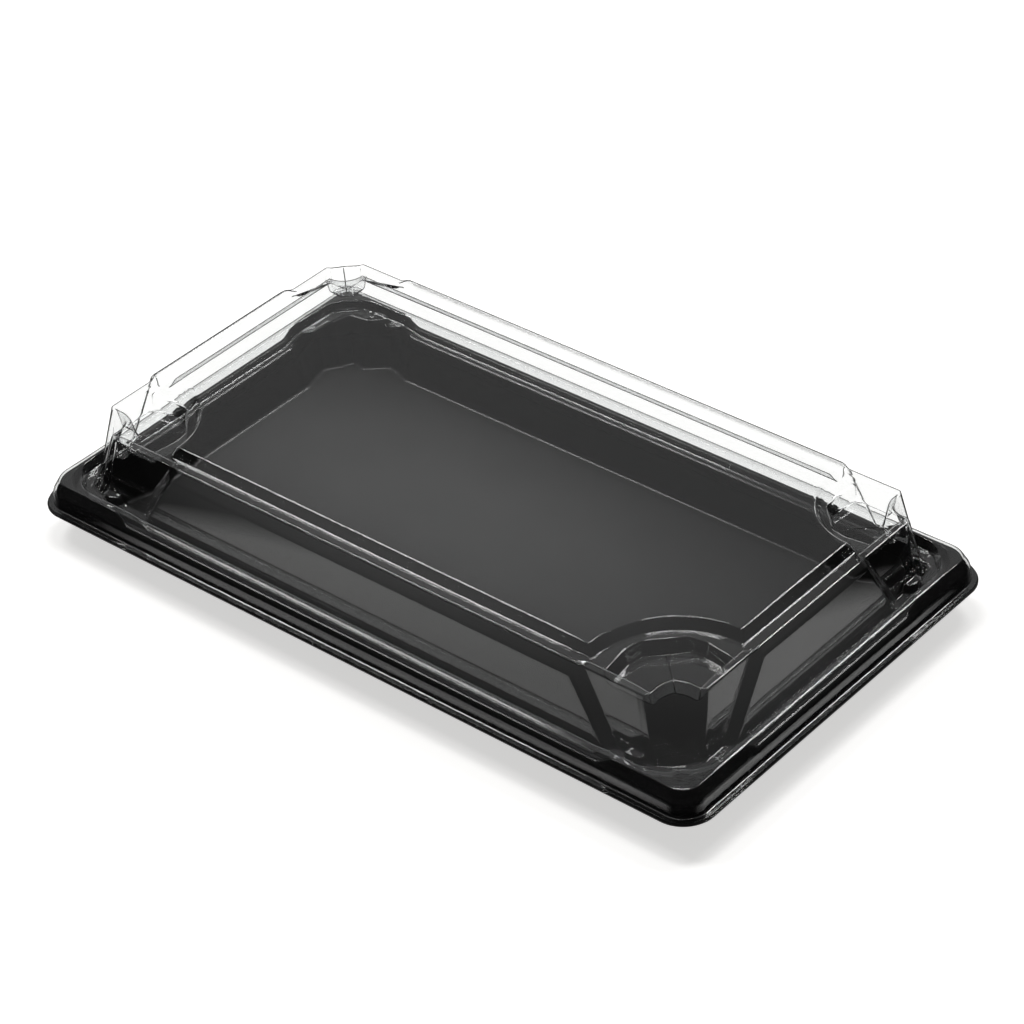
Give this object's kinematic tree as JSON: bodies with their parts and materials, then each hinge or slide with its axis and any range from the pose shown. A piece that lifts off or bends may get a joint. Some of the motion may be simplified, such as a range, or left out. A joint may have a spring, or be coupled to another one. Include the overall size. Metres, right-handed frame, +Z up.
{
  "type": "takeaway sushi tray",
  "caption": "Shallow rectangular black thermoformed food tray closed with a clear press-on lid, with arc-notched corners and release nubs.",
  "frame": {"origin": "centre of the footprint, on the underside of the tray floor", "axes": "+X along the long side, +Y along the short side, +Z up through the lid"},
  "size_m": [0.24, 0.1354, 0.0376],
  "materials": {
    "tray_plastic": "black thermoformed sheet, glossy on the walls and finely grained on the floor",
    "lid_plastic": "clear glossy thermoformed sheet"
  },
  "bodies": {
    "root": {"tray": "tray_plastic", "lid": "lid_plastic"}
  },
  "joints": []
}
